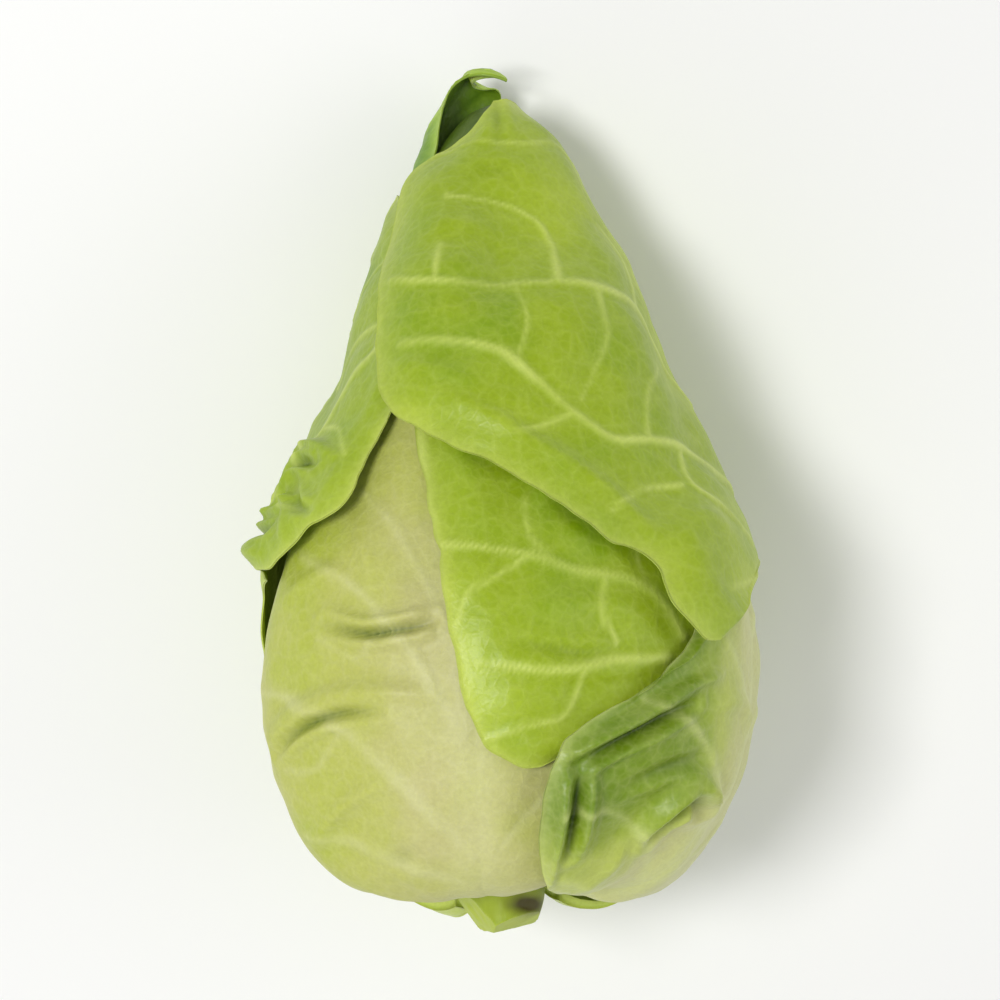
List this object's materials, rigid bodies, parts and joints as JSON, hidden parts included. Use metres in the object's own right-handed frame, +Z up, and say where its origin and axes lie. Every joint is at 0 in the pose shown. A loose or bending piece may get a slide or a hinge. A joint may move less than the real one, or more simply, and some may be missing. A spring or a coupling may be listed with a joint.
{
  "type": "pointed cabbage",
  "caption": "Pointed cabbage head with a short cut stem and overlapping wrapper leaves, lying on its side.",
  "frame": {"origin": "middle of the footprint, on the surface the head lies on", "axes": "+Y from the cut stem to the pointed tip, +Z up through the best side, +X to the right seen from above with the tip away"},
  "size_m": [0.1302, 0.2126, 0.1384],
  "materials": {
    "stem": "matte, fibrous",
    "heart": "satin",
    "tip_leaf": "satin, waxy",
    "pale_leaf": "satin, waxy",
    "cream_leaf": "satin, waxy",
    "green_leaf": "satin, waxy"
  },
  "bodies": {
    "root": {"stem": "stem", "heart": "heart", "tip_leaf": "tip_leaf", "back_leaf": "pale_leaf", "left_lower_leaf": "pale_leaf", "front_leaf": "cream_leaf", "right_inner_leaf": "green_leaf", "right_lower_leaf": "pale_leaf", "left_wrapper_leaf": "green_leaf", "right_wrapper_leaf": "green_leaf"}
  },
  "joints": []
}
